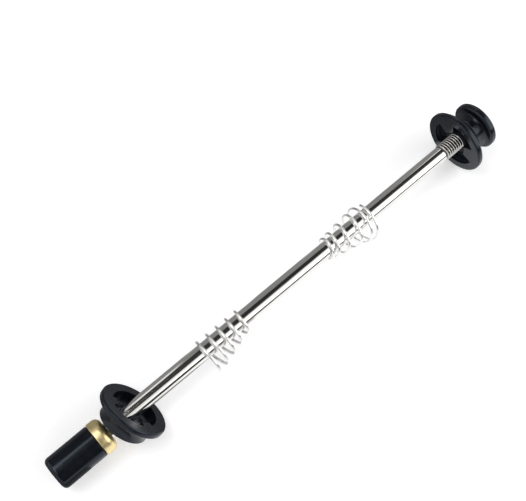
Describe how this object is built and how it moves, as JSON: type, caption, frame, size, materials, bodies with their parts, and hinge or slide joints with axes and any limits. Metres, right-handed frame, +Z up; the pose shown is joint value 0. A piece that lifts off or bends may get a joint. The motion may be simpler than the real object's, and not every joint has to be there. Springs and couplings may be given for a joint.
{
  "type": "wheel skewer",
  "caption": "Bicycle wheel skewer: plated steel rod with a barrel head, brass washer, pocketed cup, conical springs and a spool-shaped nut.",
  "frame": {"origin": "on the table under the middle of the skewer, which lies on the cup's rim and the nut's flange", "axes": "+X along the rod from the barrel head to the nut, rising a little over one degree, +Z up"},
  "size_m": [0.1494, 0.0192, 0.0189],
  "materials": {
    "rod_plating": "bright nickel plate",
    "barrel_black": "gloss black anodised",
    "washer_brass": "satin turned brass",
    "cup_black": "gloss black on a casting",
    "spring_steel": "bright drawn wire",
    "nut_black": "gloss black on a casting"
  },
  "bodies": {
    "rod": {"skewer_rod": "rod_plating", "barrel_head": "barrel_black"},
    "washer": {"brass_washer": "washer_brass"},
    "cup": {"cup_washer": "cup_black"},
    "barrel_spring": {"barrel_side_spring": "spring_steel"},
    "nut_spring": {"nut_side_spring": "spring_steel"},
    "nut": {"spool_nut": "nut_black"}
  },
  "joints": [
    {"name": "washer_slide", "type": "slide", "parent": "rod", "child": "washer", "axis": [0.9998, 0, 0.0223], "range_m": [0, 0.008]},
    {"name": "cup_tilt", "type": "hinge", "parent": "washer", "child": "cup", "pos_m": [-0.05245, -0.00052, 0.00683], "axis": [-0.0976, 0.9952, -0.0022], "range_deg": [0, 32.5]},
    {"name": "barrel_spring_slide", "type": "slide", "parent": "rod", "child": "barrel_spring", "axis": [0.9998, 0, 0.0223], "range_m": [-0.008, 0.012]},
    {"name": "nut_spring_slide", "type": "slide", "parent": "rod", "child": "nut_spring", "axis": [0.9998, 0, 0.0223], "range_m": [-0.013, 0.026]},
    {"name": "nut_turn", "type": "hinge", "parent": "rod", "child": "nut", "pos_m": [0.06455, 0.00013, 0.00944], "axis": [0.9998, 0, 0.0223], "continuous": true}
  ]
}
